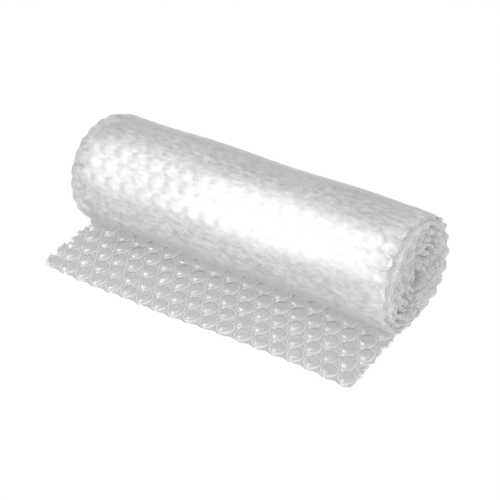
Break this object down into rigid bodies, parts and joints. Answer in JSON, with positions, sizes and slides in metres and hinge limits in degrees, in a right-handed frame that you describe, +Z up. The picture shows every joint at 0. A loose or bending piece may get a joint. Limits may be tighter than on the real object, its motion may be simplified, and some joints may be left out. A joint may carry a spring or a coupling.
{
  "type": "air bubble film roll",
  "caption": "Small roll of clear air bubble cushioning film, lying on its side with its free end pulled out flat and the round air cells facing up.",
  "frame": {"origin": "middle of the footprint, on the surface that the roll lies on", "axes": "+X along the roll's axis and the sheet's width, -Y from the roll to the cut edge of the free end, +Z up"},
  "size_m": [0.3, 0.1413, 0.0889],
  "materials": {
    "clear_film": "clear, glossy polyethylene film"
  },
  "bodies": {
    "root": {"bubble_sheet": "clear_film"}
  },
  "joints": []
}
